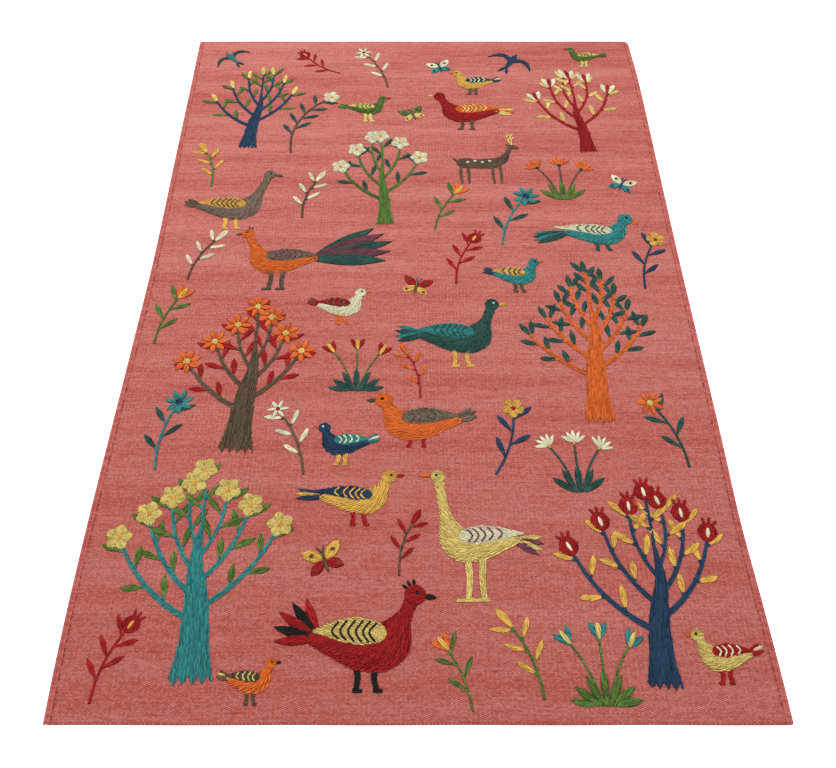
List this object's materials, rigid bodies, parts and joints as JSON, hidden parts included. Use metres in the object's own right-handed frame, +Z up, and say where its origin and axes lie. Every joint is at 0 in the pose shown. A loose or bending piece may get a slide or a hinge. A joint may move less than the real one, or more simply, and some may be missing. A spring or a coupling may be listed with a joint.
{
  "type": "suzani kilim rug",
  "caption": "Flat-woven wool kilim rug, rose ground, with corded selvedges, twined ends and raised worked birds, trees, flowers and butterflies in coloured yarn.",
  "frame": {"origin": "centre of the rug, on the plane it lies on", "axes": "+X across the rug to the right and +Y along it to its far end, as the picture shows it; +Z up, out of the worked face"},
  "size_m": [1.2079, 1.8, 0.0048],
  "materials": {
    "ground": "weft-faced wool weave, matt, with heathered bands",
    "orange": "satin stitch in thick wool yarn",
    "red": "satin stitch in thick wool yarn",
    "forest": "satin stitch in thick wool yarn",
    "teal": "satin stitch in thick wool yarn",
    "navy": "satin stitch in thick wool yarn",
    "straw": "satin stitch in thick wool yarn",
    "gold": "satin stitch in thick wool yarn",
    "cream": "satin stitch in thick wool yarn",
    "leaf": "satin stitch in thick wool yarn",
    "bark": "satin stitch in thick wool yarn",
    "stone": "satin stitch in thick wool yarn"
  },
  "bodies": {
    "root": {"cloth": "ground", "tree_teal": "teal", "tree_navy": "navy", "hen": "red", "crane": "straw", "sprig_gold": "gold", "moth_gold": "gold", "dove": "gold", "sprig_blue": "navy", "sprig_orange": "orange", "tree_bark": "bark", "duck": "orange", "tree_orange": "orange", "fowl": "forest", "clump_red": "forest", "sprig_lime": "leaf", "pheasant": "orange", "sprig_plum": "red", "tree_leaf": "leaf", "parrot": "teal", "goose": "stone", "sprig_cream": "cream", "sprig_teal": "teal", "deer": "bark", "clump_orange": "leaf", "moth_cream": "cream", "tree_gold": "navy", "bough_white": "bark", "tree_plum": "red", "partridge": "red", "finch": "leaf", "sprig_white": "cream", "fly_navy": "navy", "fly_teal": "teal", "sprig_far": "red", "finch_far": "leaf", "moth_far": "cream", "sprig_berry": "red", "clump_teal": "leaf", "sprig_star": "cream", "sprig_sea": "teal", "clump_cream": "cream", "wren_cream": "cream", "moth_red": "red", "wren_teal": "teal", "sprig_snow": "cream", "sprig_dusk": "navy", "sprig_moss": "leaf", "sprig_sun": "gold", "moth_leaf": "leaf", "wren_gold": "gold", "sprig_ember": "leaf", "wren_straw": "straw", "wren_ember": "orange", "sprig_rose": "red", "wren_navy": "navy", "sprig_coral": "orange"}
  },
  "joints": []
}
